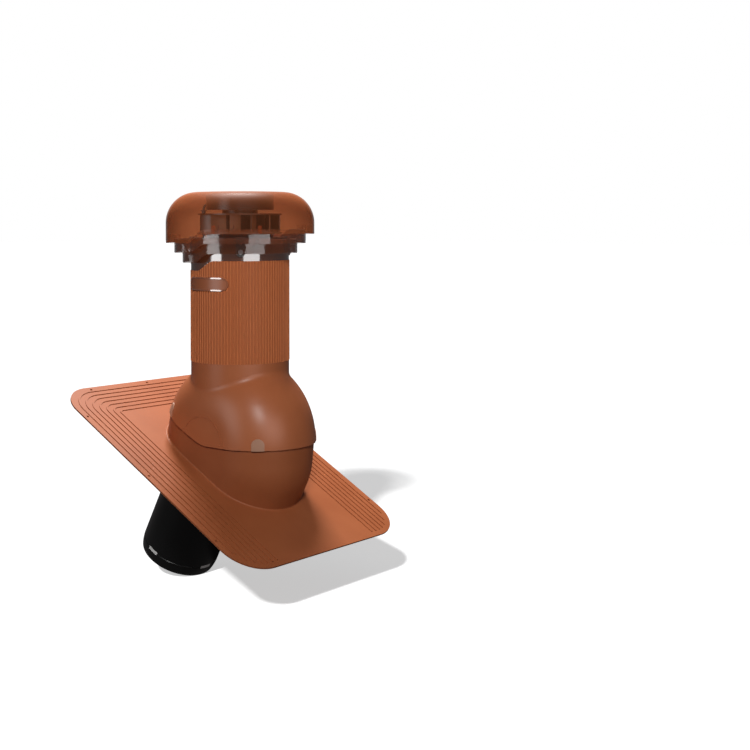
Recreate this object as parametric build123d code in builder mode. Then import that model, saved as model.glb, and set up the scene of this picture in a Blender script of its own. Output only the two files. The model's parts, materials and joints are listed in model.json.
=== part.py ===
"""Powered roof vent: a flashing plate with a half ball, a swivelling hood and tube,
a rain cap on two louvre rings, and an extract fan under the cap.

Millimetres, +Z up along the tube, +X down the roof slope, +Y across the roof.
The origin is where the tube's axis meets the underside of the flashing plate.
"""
from build123d import *
import os
from math import cos, hypot, radians, sin, tan

os.makedirs("parts", exist_ok=True)

# Roof and pivot
roof_pitch = 28.0
pivot_rise = 50.0
plate_thickness = 3.0

# Flashing plate
plate_down = 280.0
plate_up = 276.0
plate_half_width = 212.0
top_corner_radius = 60.0
bottom_corner_radius = 68.0
rib_count = 7
rib_margin = 13.0
rib_spacing = 11.6
rib_width = 2.4
rib_height = 1.3
rib_corner_radius = 50.0
rib_corner_step = 7.0
nail_hole_radius = 2.5
nail_edge_distance = 7.5
nail_side_spacing = 190.0
nail_top_spacing = 140.0

# Ball joint between the hood and the plate
ball_flat_radius = 55.8
ball_shoulder = 8.9
ball_band = 2.0
hood_wall = 2.8
ball_gap = 0.6
dome_wall = 2.8
dome_skirt_step = 4.7
dome_skirt_radius = 130.0
dome_straight_from = 21.5
dome_base_fillet = 3.0
dome_opening_start = 62.0
dome_opening_end = 168.0

# Hood rim, neck and marks
rim_drop = 3.0
rim_turn = 3.7
rim_rise_angle = 26.0
rim_turn_radius = 85.0
neck_step = 0.2
neck_below_crown = 8.0
neck_fillet = 17.0
tab_width = 22.5
tab_height = 21.5
tab_proud = 1.2
tab_angles = (33.0, 140.0, 220.0, 327.0)
scale_inset = 5.3
scale_line_width = 1.6
scale_line_height = 0.6
scale_start = 7.0
scale_end = 150.0
scale_mark_radius = 1.2
scale_mark_turn = 4.0
scale_mark_offset = 4.7

# Lower duct, its seal and its collar
duct_radius = 75.0
duct_wall = 2.5
duct_axis_upslope = 36.0
duct_exposed = 241.0
duct_inside = 35.0
duct_end_length = 21.0
duct_end_step = 1.2
duct_end_curl = 3.0
duct_play = 0.4
duct_seal_depth = 0.8
duct_seal_height = 4.0
duct_seal_proud = 0.1
duct_seal_below = 0.5
collar_wall = 2.4
collar_flare = 2.0
collar_drop = 14.0
collar_flange_width = 10.2
collar_flange_thickness = 3.0
collar_hole_play = 0.4
seal_thickness = 1.5
collar_screw_inset = 4.5
collar_screw_count = 4
collar_screw_radius = 1.9
collar_screw_head_radius = 4.0
collar_screw_head_height = 2.4
collar_screw_tip = 1.5
slot_count = 4
slot_length = 24.0
slot_height = 6.5
slot_from_end = 21.0
latch_play = 0.2
latch_lip = 2.0
latch_lip_thickness = 1.2

# Outer tube
tube_length = 226.7
tube_wall = 4.8
flute_count = 96
flute_height = 1.1
flute_base = 4.0
flute_slope = 55.0
flute_end_high = 39.8
flute_end_low = 58.5
sleeve_half_length = 22.0
sleeve_wall = 3.0
insulation_thickness = 11.3
insulation_from_pipe_top = 1.0
pipe_wall = 2.5
pipe_below_tube = 5.8
pipe_top_gap = 26.5

# Badge plates, left bare
badge_half_angle = 31.0
badge_height = 24.5
badge_from_flutes = 23.4
badge_field = 1.4
badge_rim = 0.8
badge_rim_width = 2.6
badge_play = 0.1
seat_gap = 0.15

# Rain cap and louvre rings, oval in plan and stepped down towards the ridge side
lower_ring_gap = (17.7, 13.7)
upper_ring_gap = (17.8, 12.7)
cap_gap = (17.1, 14.5)
cap_shoulder = 57.0
cap_wall = 2.5
cap_rim_lift = 8.9
upper_ring_drop = 17.5
lower_ring_drop = 18.4
rim_step_fall = 17.0
ring_step_fall = 17.7
ring_wall = 2.5
ring_height = 26.0
cap_step = (37.0, -17.0)
upper_ring_step = (29.0, -21.0)
lower_ring_step = (25.0, -23.0)
flute_step = (22.0, -24.0)
spacer_angles = (30.0, 68.0, 112.0, 150.0, 210.0, 248.0, 292.0, 330.0)
spacer_thickness = 2.5
spacer_height = 14.0
spacer_from_rim = 1.5

# Fan flange and its hooks
flange_lip_inset = 2.1
flange_lip_thickness = 2.3
flange_ring_play = 0.3
flange_ring_wall = 2.5
flange_ring_depth = 23.2
flange_ledge = 29.0
hook_angles = (45.0, 135.0, 225.0, 315.0)
hook_screw_drop = 23.5
screw_play = 0.15
hook_width = 17.0
hook_thickness = 2.0
hook_gap = 0.3
hook_top_thickness = 1.5
hook_arm_reach = 12.0
hook_screw_radius = 2.5
hook_screw_head_radius = 4.4
hook_screw_head_height = 1.6

# Impeller
inlet_foot = 4.0
inlet_spread = 7.0
inlet_wall = 2.0
inlet_height = 6.2
impeller_gap = 0.7
impeller_inset = 7.5
impeller_height = 37.3
impeller_plate = 2.5
impeller_eye_inset = 1.0
blade_count = 12
blade_thickness = 2.2
blade_length = 27.9
blade_sweep = 35.0
blade_inset = 0.6
blade_curve_radius = 60.0
shaft_nose = 6.0
shaft_end_gap = 0.5
hub_radius = 33.3
hub_height = 6.4
shaft_radius = 5.0
bearing_play = 0.03

# Motor
motor_gap = 0.6
motor_radius = 63.0
motor_height = 28.7
motor_wall = 2.5
motor_edge = 2.0
cover_thickness = 2.5
bearing_radius = 11.0
bearing_height = 5.0
seat_wall = 2.0
cover_bore_play = 0.5
stator_ring = 20.7
stator_height = 12.0
stator_lift = 5.5
rotor_play = 0.6
pad_outer_radius = 52.0
pad_inner_radius = 18.0
pad_thickness = 1.8
cap_screw_circle = 38.0
cap_screw_count = 4
cap_screw_radius = 2.0
cap_screw_head_radius = 4.4
cap_screw_head_height = 1.8

# Fan lead, its gland, grommet and conduit
gland_lift = 10.8
gland_radius = 6.5
gland_length = 7.0
nut_across_corners = 17.6
nut_length = 8.6
nut_nose = 3.0
lead_radius = 2.25
lead_play = 0.15
lead_bend_radius = 11.0
grommet_drop = 18.8
grommet_height = 7.5
grommet_flange_radius = 6.2
grommet_waist_radius = 3.8
grommet_flange_thickness = 1.6
conduit_radius = 5.5
conduit_wall = 1.3
conduit_length = 48.0
conduit_above_tube = 1.5
conduit_gap = 1.0
plug_height = 6.0
clip_lift = 7.0
clip_height = 9.0
clip_wall = 1.3
clip_half_angle = 21.0
clip_screw_angle = 17.0
clip_screw_radius = 1.4
clip_screw_head_radius = 2.6
clip_screw_head_height = 1.2
clip_screw_bite = 4.0

# Sizes that follow from those above, radii first and then heights above the pivot
pipe_radius = duct_radius
neck_bore = pipe_radius + insulation_thickness
tube_radius = neck_bore + tube_wall
neck_radius = tube_radius + neck_step
ball_half_width = tube_radius + ball_shoulder
ball_edge_radius = ball_half_width - ball_band
ball_radius = ball_edge_radius + ball_flat_radius
dome_skirt_reach = ball_radius + dome_skirt_step
scale_radius = ball_flat_radius - scale_inset
lower_ring = (tube_radius + lower_ring_gap[0], tube_radius + lower_ring_gap[1])
upper_ring = (lower_ring[0] + upper_ring_gap[0], lower_ring[1] + upper_ring_gap[1])
cap_oval = (upper_ring[0] + cap_gap[0], upper_ring[1] + cap_gap[1])
flange_lip_radius = tube_radius - flange_lip_inset
flange_ring_radius = neck_bore - flange_ring_play
flange_eye_radius = flange_ring_radius - flange_ledge
impeller_radius = flange_ring_radius - impeller_inset
impeller_eye_radius = flange_eye_radius - impeller_eye_inset
lead_out = tube_radius + conduit_gap + conduit_radius
gland_reach = motor_radius + gland_length
stator_bore = motor_radius - motor_wall - stator_ring
rotor_radius = stator_bore - rotor_play
duct_bore = duct_radius - duct_wall
collar_bore = duct_radius + duct_play
collar_radius = collar_bore + collar_wall + collar_flare
collar_hole_radius = collar_radius + collar_hole_play
collar_flange_radius = collar_radius + collar_flange_width
collar_screw_circle = collar_flange_radius - collar_screw_inset
flange_top = seal_thickness + collar_flange_thickness
tube_bottom = ball_radius - neck_below_crown
tube_top = tube_bottom + tube_length
pipe_bottom = tube_bottom - pipe_below_tube
pipe_top = tube_top - pipe_top_gap
flute_top_high = tube_top - flute_end_high
flute_top_low = tube_top - flute_end_low
badge_centre = flute_top_low - badge_from_flutes
cap_rim = (tube_top + cap_rim_lift, tube_top + cap_rim_lift - rim_step_fall)
upper_ring_rim = (cap_rim[0] - upper_ring_drop, cap_rim[0] - upper_ring_drop - ring_step_fall)
lower_ring_rim = (upper_ring_rim[0] - lower_ring_drop, upper_ring_rim[0] - lower_ring_drop - ring_step_fall)
lip_top = tube_top + flange_lip_thickness
hook_screw_level = tube_top - hook_screw_drop
impeller_bottom = lip_top + inlet_height + impeller_gap
impeller_top = impeller_bottom + impeller_height
motor_bottom = impeller_top + hub_height + motor_gap
motor_top = motor_bottom + motor_height
cap_ceiling = motor_top + pad_thickness
cap_top = cap_ceiling + cap_wall
gland_level = motor_bottom + gland_lift
grommet_level = gland_level - grommet_drop
conduit_top = tube_top + conduit_above_tube
conduit_bottom = conduit_top - conduit_length
clip_level = conduit_bottom + clip_lift

# Frames
pitch = radians(roof_pitch)
pivot_height = (pivot_rise + plate_thickness) / cos(pitch)
down_slope = Vector(cos(pitch), 0, -sin(pitch))
roof_normal = Vector(sin(pitch), 0, cos(pitch))
pivot = Vector(0, 0, pivot_height)
pivot_axis = Axis(pivot, (0, 1, 0))
head_side = Plane(origin=pivot, x_dir=(1, 0, 0), z_dir=(0, -1, 0))
roof_side = Plane(origin=pivot, x_dir=down_slope, z_dir=(0, -1, 0))
roof_top = Plane(origin=pivot - roof_normal * pivot_rise, x_dir=down_slope, z_dir=roof_normal)
duct_top_plane = Plane(
    origin=roof_top.origin - down_slope * duct_axis_upslope,
    x_dir=down_slope,
    z_dir=roof_normal,
)
far = 2 * plate_down
duct_end = duct_top_plane.offset(-plate_thickness - duct_exposed)


def head_level(height):
    """The horizontal plane at a height above the pivot."""
    return Plane.XY.offset(pivot_height + height)


def ring(plane, outer, inner, height, mode=Mode.ADD):
    """A plain ring or disc that stands on a plane."""
    with BuildSketch(plane) as disc:
        Circle(outer)
        if inner > 0:
            Circle(inner, mode=Mode.SUBTRACT)
    extrude(disc.sketch, amount=height, mode=mode)


def screw(plane, head_radius, head_height, shank_radius, shank_length):
    """A screw whose head stands on the plane and whose shank goes down from it."""
    with BuildSketch(plane) as head:
        Circle(head_radius)
    extrude(head.sketch, amount=head_height)
    with BuildSketch(plane) as shank:
        Circle(shank_radius)
    extrude(shank.sketch, amount=-shank_length)


def screw_hole(plane, radius, depth):
    """A round hole that goes down from the plane."""
    with BuildSketch(plane) as bore:
        Circle(radius)
    extrude(bore.sketch, amount=-depth, mode=Mode.SUBTRACT)


def radial_plane(angle, radius, height):
    """The upright plane that faces outwards at an angle, a radius and a height."""
    turn = radians(angle)
    outwards = Vector(cos(turn), sin(turn), 0)
    across = Vector(-sin(turn), cos(turn), 0)
    centre = outwards * radius + Vector(0, 0, pivot_height + height)
    return Plane(origin=centre, x_dir=across, z_dir=outwards)


def below_step(high, low, step, mode):
    """Cut away, or keep, all that lies below a stepped line, high towards the eaves."""
    start, end = step
    middle = (start + end) / 2
    with BuildSketch(head_side) as lower_part:
        with BuildLine():
            Line((far, high), (start, high))
            Bezier((start, high), (middle, high), (middle, low), (end, low))
            Polyline((end, low), (-far, low), (-far, -far), (far, -far), (far, high))
        make_face()
    extrude(lower_part.sketch, amount=far, both=True, mode=mode)


def screw_circle(plane, circle, count, radius, depth):
    """A circle of round holes that go down from the plane."""
    with BuildSketch(plane) as bores:
        with PolarLocations(circle, count, start_angle=180 / count):
            Circle(radius)
    extrude(bores.sketch, amount=-depth, mode=Mode.SUBTRACT)


def oval_band(half_length, half_width, wall, bottom, top):
    """An upright oval band between two heights above the pivot."""
    with BuildSketch(head_level(bottom)) as oval:
        Ellipse(half_length, half_width)
        Ellipse(half_length - wall, half_width - wall, mode=Mode.SUBTRACT)
    extrude(oval.sketch, amount=top - bottom)


def ball_reach(height, angle):
    """How far the ball reaches from the tube's axis at a height and an angle."""
    along, across = abs(cos(radians(angle))), abs(sin(radians(angle)))
    inside, outside = 0.0, ball_radius + ball_half_width
    for _ in range(40):
        middle = (inside + outside) / 2
        round_edge = hypot(hypot(middle * along, height) - ball_flat_radius, middle * across - ball_band)
        if round_edge < ball_edge_radius:
            inside = middle
        else:
            outside = middle
    return inside


def plate_outline(inset):
    """The plate's outline, drawn in by an inset, in the plate's own plane."""
    with BuildSketch() as outline:
        with Locations(((plate_down - plate_up) / 2, 0)):
            Rectangle(plate_down + plate_up - 2 * inset, 2 * (plate_half_width - inset))
        fillet(outline.vertices().group_by(Axis.X)[0], top_corner_radius - inset)
        fillet(outline.vertices().group_by(Axis.X)[-1], bottom_corner_radius - inset)
    return outline.sketch


def ball_form(inset):
    """The turned form of the ball, drawn in by an inset, on the pivot axis."""
    radius = ball_radius - inset
    half_width = ball_half_width - inset
    edge = ball_edge_radius - inset
    flat = radius - edge
    band = half_width - edge
    section = Plane(origin=pivot, x_dir=(0, 1, 0), z_dir=(1, 0, 0))
    with BuildPart() as form:
        with BuildSketch(section):
            with BuildLine():
                Polyline((-half_width, flat), (-half_width, 0), (half_width, 0), (half_width, flat))
                CenterArc((band, flat), edge, 0, 90)
                Line((band, radius), (-band, radius))
                CenterArc((-band, flat), edge, 90, 90)
            make_face()
        revolve(axis=pivot_axis)
    return form.part


def dome_form(inset):
    """The plate's half ball with its straight skirt, drawn in by an inset."""
    radius = ball_radius - hood_wall - ball_gap - inset
    half_width = ball_half_width - hood_wall - ball_gap - inset
    edge = ball_edge_radius - hood_wall - ball_gap - inset
    start = radians(dome_straight_from)
    skirt = dome_skirt_reach - inset
    bend = dome_skirt_radius - inset
    leave = Vector(radius * cos(start), radius * sin(start))
    run = (skirt - leave.X - bend * (1 - cos(start))) / sin(start)
    with BuildPart() as form:
        with BuildSketch(roof_side):
            with BuildLine():
                back = CenterArc((0, 0), radius, dome_straight_from, 270 - dome_straight_from)
                flank = PolarLine(leave, run, dome_straight_from - 90)
                turn = JernArc(flank @ 1, flank % 1, bend, -dome_straight_from)
                upright = Line(turn @ 1, (skirt, -pivot_rise))
                under = JernArc(upright @ 1, upright % 1, radius - pivot_rise, -90)
                Line(under @ 1, back @ 1)
            make_face()
        extrude(amount=half_width, both=True)
        fillet(form.faces().filter_by(Axis.Y).edges(), edge)
    return form.part


def roof_block(bottom, top):
    """A wide block between two heights above the plate's upper face."""
    with BuildPart() as block:
        with BuildSketch(roof_top.offset(bottom)):
            Rectangle(far, far)
        extrude(amount=top - bottom)
    return block.part


# The plate and its half ball, one moulding
outline = plate_outline(0)
rib_field = plate_outline(rib_margin - rib_width / 2)
above_plate = roof_block(0, far)
dome_outside = dome_form(0)
dome_cavity = dome_form(dome_wall) & above_plate
dome_radius = ball_radius - hood_wall - ball_gap
opening_middle = radians((dome_opening_start + dome_opening_end) / 2)
opening_half = radians((dome_opening_end - dome_opening_start) / 2)
opening_normal = down_slope * cos(opening_middle) + roof_normal * sin(opening_middle)
opening_plane = Plane(
    origin=pivot + opening_normal * dome_radius * cos(opening_half),
    x_dir=(0, 1, 0),
    z_dir=opening_normal,
)

with BuildPart() as plate_ribs:
    with BuildSketch(roof_top):
        for i in range(rib_count):
            for inset, keep in (
                (rib_margin + i * rib_spacing, Mode.ADD),
                (rib_margin + i * rib_spacing + rib_width, Mode.SUBTRACT),
            ):
                ridge_end = -plate_up + inset
                with Locations(((ridge_end + far) / 2, 0)):
                    RectangleRounded(
                        far - ridge_end,
                        2 * (plate_half_width - inset),
                        rib_corner_radius - i * rib_corner_step,
                        mode=keep,
                    )
        add(rib_field, mode=Mode.INTERSECT)
    extrude(amount=rib_height)

with BuildPart() as flashing_plate:
    add(dome_outside)
    add(above_plate, mode=Mode.INTERSECT)
    with BuildSketch(roof_top.offset(-plate_thickness)):
        add(outline)
    extrude(amount=plate_thickness)
    base = flashing_plate.edges().filter_by(
        lambda e: abs((e.center() - roof_top.origin).dot(roof_normal)) < 0.01
        and (e.center() - roof_top.origin).length < dome_skirt_reach + dome_base_fillet
    )
    fillet(base, dome_base_fillet)
    add(plate_ribs.part)
    add(dome_cavity, mode=Mode.SUBTRACT)
    with BuildSketch(opening_plane):
        Rectangle(far, far)
    extrude(amount=far, mode=Mode.SUBTRACT)
    screw_hole(duct_top_plane, collar_hole_radius, plate_thickness)
    screw_circle(
        duct_top_plane,
        collar_screw_circle,
        collar_screw_count,
        collar_screw_radius + collar_hole_play,
        plate_thickness,
    )
    with BuildSketch(roof_top):
        nail_y = plate_half_width - nail_edge_distance
        nail_s = nail_edge_distance - plate_up
        for side in (-1, 0, 1):
            with Locations((side * nail_side_spacing, nail_y), (side * nail_side_spacing, -nail_y)):
                Circle(nail_hole_radius)
            with Locations((nail_s, side * nail_top_spacing)):
                Circle(nail_hole_radius)
    extrude(amount=-plate_thickness, mode=Mode.SUBTRACT)
flashing_plate.part.label = "flashing_plate"
export_step(flashing_plate.part, "parts/flashing_plate.step")

# The duct collar, its seal and screws, fixed to the plate
with BuildPart() as collar_seal:
    ring(duct_top_plane, collar_flange_radius, collar_hole_radius, seal_thickness)
    screw_circle(
        duct_top_plane.offset(seal_thickness),
        collar_screw_circle,
        collar_screw_count,
        collar_screw_radius + collar_hole_play,
        seal_thickness,
    )
collar_seal.part.label = "collar_seal"
export_step(collar_seal.part, "parts/collar_seal.step")

with BuildPart() as duct_collar:
    ring(duct_top_plane.offset(seal_thickness), collar_flange_radius, 0, collar_flange_thickness)
    ring(duct_top_plane.offset(-plate_thickness), collar_radius, 0, plate_thickness + flange_top)
    with BuildSketch(duct_top_plane.offset(-plate_thickness)):
        Circle(collar_radius)
    with BuildSketch(duct_top_plane.offset(-plate_thickness - collar_drop)):
        Circle(collar_radius - collar_flare)
    loft()
    screw_hole(
        duct_top_plane.offset(flange_top),
        collar_bore,
        flange_top + plate_thickness + 2 * collar_drop,
    )
    screw_circle(
        duct_top_plane.offset(flange_top),
        collar_screw_circle,
        collar_screw_count,
        collar_screw_radius + collar_hole_play,
        collar_flange_thickness,
    )
duct_collar.part.label = "duct_collar"
export_step(duct_collar.part, "parts/duct_collar.step")

with BuildPart() as collar_screws:
    for i in range(collar_screw_count):
        turn = radians((i + 0.5) * 360 / collar_screw_count)
        across = collar_screw_circle * sin(turn)
        along = collar_screw_circle * cos(turn)
        foot = duct_top_plane.origin + down_slope * along + Vector(0, across, 0)
        screw(
            Plane(origin=foot + roof_normal * flange_top, x_dir=down_slope, z_dir=roof_normal),
            collar_screw_head_radius,
            collar_screw_head_height,
            collar_screw_radius,
            flange_top + plate_thickness + collar_screw_tip,
        )
collar_screws.part.label = "collar_screws"
export_step(collar_screws.part, "parts/collar_screws.step")

# The lower duct, which slides in its collar, and the ring that seals it there
seal_foot = duct_exposed - collar_drop - duct_seal_below
with BuildPart() as lower_duct:
    with BuildSketch(Plane(origin=duct_end.origin, x_dir=down_slope, z_dir=(0, -1, 0))):
        with BuildLine():
            duct_length = duct_inside + plate_thickness + duct_exposed
            lip_end = duct_radius - duct_end_curl
            groove = duct_end_length - duct_end_step
            Polyline(
                (lip_end, 0),
                (lip_end - duct_wall, 0),
                (duct_bore, groove),
                (duct_bore, duct_length),
                (duct_radius, duct_length),
                (duct_radius, seal_foot + duct_seal_height),
                (duct_radius - duct_seal_depth, seal_foot + duct_seal_height),
                (duct_radius - duct_seal_depth, seal_foot),
                (duct_radius, seal_foot),
                (duct_radius, duct_end_length + duct_end_step),
                (duct_radius - duct_end_step, duct_end_length),
                (duct_radius, groove),
            )
            ThreePointArc(
                (duct_radius, groove),
                (duct_radius - duct_end_curl * 0.3, duct_end_length * 0.45),
                (lip_end, 0),
            )
        make_face()
    revolve(axis=Axis(duct_end.origin, roof_normal))
    with BuildSketch(duct_end.offset(slot_from_end - slot_height / 2)):
        with PolarLocations(duct_radius, slot_count):
            Rectangle(4 * duct_wall, slot_length)
    extrude(amount=slot_height, mode=Mode.SUBTRACT)
lower_duct.part.label = "lower_duct"
export_step(lower_duct.part, "parts/lower_duct.step")

with BuildPart() as duct_seal:
    ring(
        duct_end.offset(seal_foot),
        duct_radius + duct_seal_proud,
        duct_radius - duct_seal_depth,
        duct_seal_height,
    )
duct_seal.part.label = "duct_seal"
export_step(duct_seal.part, "parts/duct_seal.step")


def latch_layer(outer, inner, length, height):
    """One ring sector for each slot, centred on the slots."""
    with BuildPart() as layer:
        ring(duct_end.offset(slot_from_end - height / 2), outer, inner, height)
        with BuildSketch(duct_end.offset(slot_from_end - height / 2)):
            with PolarLocations(duct_radius, slot_count):
                Rectangle(12 * duct_wall, length)
        extrude(amount=height, mode=Mode.INTERSECT)
    return layer.part


# The pale latches that fill the duct's slots and lie against its bore
latch_seat = duct_bore - duct_end_curl * slot_height / duct_end_length
latch_faces = latch_layer(duct_radius, latch_seat, slot_length - 2 * latch_play, slot_height - 2 * latch_play)
latch_backs = latch_layer(
    latch_seat, latch_seat - latch_lip_thickness, slot_length + 2 * latch_lip, slot_height - 2 * latch_play
)
with BuildPart() as duct_latches:
    add(latch_faces)
    add(latch_backs)
duct_latches.part.label = "duct_latches"
export_step(duct_latches.part, "parts/duct_latches.step")

# The hood: the upper half of the ball, with its neck, tabs and pitch scale
ball_outside = ball_form(0)
ball_cavity = ball_form(hood_wall)
rise = tan(radians(rim_rise_angle))


def rim_level(x):
    """The rim's height above the pivot at a place along the slope."""
    return max(-rim_drop, -rim_drop + (-x - rim_turn) * rise)


with BuildPart() as tab_pads:
    for angle in tab_angles:
        level = rim_level(ball_reach(0, angle) * cos(radians(angle)))
        level = rim_level(ball_reach(level, angle) * cos(radians(angle)))
        straight = tab_height - tab_width / 2
        with BuildSketch(radial_plane(angle, neck_radius, level)):
            Rectangle(tab_width, 2 * straight)
            with Locations((0, straight)):
                Circle(tab_width / 2)
        extrude(amount=far)
    add(ball_form(-tab_proud), mode=Mode.INTERSECT)

with BuildPart() as hood:
    add(ball_outside)
    ring(head_level(0), neck_radius, 0, tube_bottom)
    seam = hood.edges().filter_by(
        lambda e: neck_radius < e.center().Z - pivot_height < tube_bottom - neck_below_crown
    )
    fillet(seam, neck_fillet)
    add(tab_pads.part)
    for side in (-1, 1):
        with BuildSketch(head_side.offset(side * ball_half_width)):
            with BuildLine():
                outer_line = CenterArc(
                    (0, 0), scale_radius + scale_line_width / 2, scale_start, scale_end - scale_start
                )
                inner_line = CenterArc(
                    (0, 0), scale_radius - scale_line_width / 2, scale_start, scale_end - scale_start
                )
                Line(outer_line @ 0, inner_line @ 0)
                Line(outer_line @ 1, inner_line @ 1)
            make_face()
        extrude(amount=side * scale_line_height)
        with BuildSketch(head_side.offset(side * ball_half_width)):
            for mark_angle, outwards in ((scale_start, -1), (scale_end, 1)):
                for offset_sign in (-1, 1):
                    turn = radians(mark_angle + outwards * scale_mark_turn)
                    reach = scale_radius + offset_sign * scale_mark_offset
                    with Locations((reach * cos(turn), reach * sin(turn))):
                        Circle(scale_mark_radius)
        extrude(amount=side * scale_line_height)
    add(ball_cavity, mode=Mode.SUBTRACT)
    screw_hole(head_level(ball_radius), neck_bore, ball_radius)
    with BuildSketch(head_side):
        with BuildLine():
            rim = FilletPolyline(
                (far, -rim_drop), (-rim_turn, -rim_drop), (-far, rim_level(-far)), radius=rim_turn_radius
            )
            Polyline(rim @ 1, (-far, -far), (far, -far), rim @ 0)
        make_face()
    extrude(amount=far, both=True, mode=Mode.SUBTRACT)
hood.part.label = "hood"
export_step(hood.part, "parts/hood.step")

# The coupling sleeve inside the neck and the tube
with BuildPart() as coupling_sleeve:
    ring(
        head_level(tube_bottom - sleeve_half_length),
        neck_bore,
        neck_bore - sleeve_wall,
        2 * sleeve_half_length,
    )
coupling_sleeve.part.label = "coupling_sleeve"
export_step(coupling_sleeve.part, "parts/coupling_sleeve.step")

# The outer tube, fluted up to a stepped line and smooth above it
badge_reach = tube_radius + badge_field + badge_rim
badge_half_length = badge_reach * sin(radians(badge_half_angle))
with BuildPart() as flutes:
    with BuildSketch(head_level(tube_bottom)):
        Circle(tube_radius)
        with PolarLocations(tube_radius, flute_count):
            Trapezoid(flute_base, 2 * flute_height, flute_slope, rotation=-90)
        Circle(tube_radius - tube_wall / 2, mode=Mode.SUBTRACT)
    extrude(amount=flute_top_high - tube_bottom)
    below_step(flute_top_high, flute_top_low, flute_step, Mode.INTERSECT)
    with BuildSketch(head_side):
        with Locations((0, badge_centre)):
            SlotOverall(2 * badge_half_length + 2 * badge_play, badge_height + 2 * badge_play)
    extrude(amount=far, both=True, mode=Mode.SUBTRACT)
with BuildPart() as outer_tube:
    ring(head_level(tube_bottom), tube_radius, neck_bore, tube_top - tube_bottom)
    add(flutes.part)
    for angle in hook_angles:
        screw_bore = radial_plane(angle, tube_radius, hook_screw_level)
        screw_hole(screw_bore, hook_screw_radius + screw_play, 2 * tube_wall)
    for side in (-1, 1):
        clip_bore = radial_plane(180 + side * clip_screw_angle, tube_radius, clip_level)
        screw_hole(clip_bore, clip_screw_radius + screw_play, tube_wall)
outer_tube.part.label = "outer_tube"
export_step(outer_tube.part, "parts/outer_tube.step")

# The badge plates, bare fields with a raised border, one on each side
for side, name in ((1, "badge_left"), (-1, "badge_right")):
    with BuildPart() as badge:
        for overall, height, seat, reach, keep in (
            (2 * badge_half_length, badge_height, tube_radius + seat_gap, badge_reach, Mode.ADD),
            (
                2 * (badge_half_length - badge_rim_width),
                badge_height - 2 * badge_rim_width,
                badge_reach - badge_rim,
                badge_reach + badge_rim,
                Mode.SUBTRACT,
            ),
        ):
            with BuildSketch(head_side):
                with Locations((0, badge_centre)):
                    SlotOverall(overall, height)
            badge_block = extrude(amount=-side * far, mode=Mode.PRIVATE)
            with BuildSketch(head_level(badge_centre - badge_height)):
                Circle(reach)
                Circle(seat, mode=Mode.SUBTRACT)
            badge_ring = extrude(amount=2 * badge_height, mode=Mode.PRIVATE)
            add(badge_block & badge_ring, mode=keep)
    badge.part.label = name
    export_step(badge.part, f"parts/{name}.step")

# The air pipe and the insulation that holds it in the tube
with BuildPart() as inner_pipe:
    ring(head_level(pipe_bottom), pipe_radius, pipe_radius - pipe_wall, pipe_top - pipe_bottom)
inner_pipe.part.label = "inner_pipe"
export_step(inner_pipe.part, "parts/inner_pipe.step")

insulation_bottom = tube_bottom + sleeve_half_length
with BuildPart() as insulation:
    ring(
        head_level(insulation_bottom),
        neck_bore,
        pipe_radius,
        pipe_top - insulation_from_pipe_top - insulation_bottom,
    )
insulation.part.label = "insulation"
export_step(insulation.part, "parts/insulation.step")

# The fan flange on the tube's end, with its hooks and screws
with BuildPart() as fan_flange:
    ring(head_level(tube_top), flange_lip_radius, flange_eye_radius, flange_lip_thickness)
    ring(
        head_level(tube_top - flange_ring_depth),
        flange_ring_radius,
        flange_ring_radius - flange_ring_wall,
        flange_ring_depth,
    )
    for angle in hook_angles:
        bore = radial_plane(angle, flange_ring_radius, hook_screw_level)
        screw_hole(bore, hook_screw_radius + screw_play, 2 * flange_ring_wall)
fan_flange.part.label = "fan_flange"
export_step(fan_flange.part, "parts/fan_flange.step")

hook_face = tube_radius + hook_gap + hook_thickness
with BuildPart() as hooks:
    for angle in hook_angles:
        leg = lip_top + hook_top_thickness - hook_screw_level
        with BuildSketch(radial_plane(angle, hook_face, hook_screw_level)):
            with Locations((0, leg / 2)):
                Rectangle(hook_width, leg)
            Circle(hook_width / 2)
        extrude(amount=-hook_thickness)
        with BuildSketch(radial_plane(angle, hook_face, lip_top + hook_top_thickness / 2)):
            Rectangle(hook_width, hook_top_thickness)
        extrude(amount=-hook_arm_reach)
        screw_hole(
            radial_plane(angle, hook_face, hook_screw_level),
            hook_screw_radius + screw_play,
            hook_thickness,
        )
hooks.part.label = "flange_hooks"
export_step(hooks.part, "parts/flange_hooks.step")

with BuildPart() as hook_screws:
    for angle in hook_angles:
        screw(
            radial_plane(angle, hook_face, hook_screw_level),
            hook_screw_head_radius,
            hook_screw_head_height,
            hook_screw_radius,
            hook_face - flange_ring_radius + flange_ring_wall,
        )
hook_screws.part.label = "hook_screws"
export_step(hook_screws.part, "parts/hook_screws.step")

# The inlet ring that leads air into the impeller's eye
with BuildPart() as inlet_ring:
    with BuildSketch(head_side):
        with BuildLine():
            Polyline(
                (flange_eye_radius, lip_top),
                (flange_eye_radius + inlet_foot, lip_top),
                (flange_eye_radius + inlet_spread, lip_top + inlet_height),
                (flange_eye_radius + inlet_spread - inlet_wall, lip_top + inlet_height),
                (flange_eye_radius, lip_top + inlet_wall),
                close=True,
            )
        make_face()
    revolve(axis=Axis.Z)
inlet_ring.part.label = "inlet_ring"
export_step(inlet_ring.part, "parts/inlet_ring.step")

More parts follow.
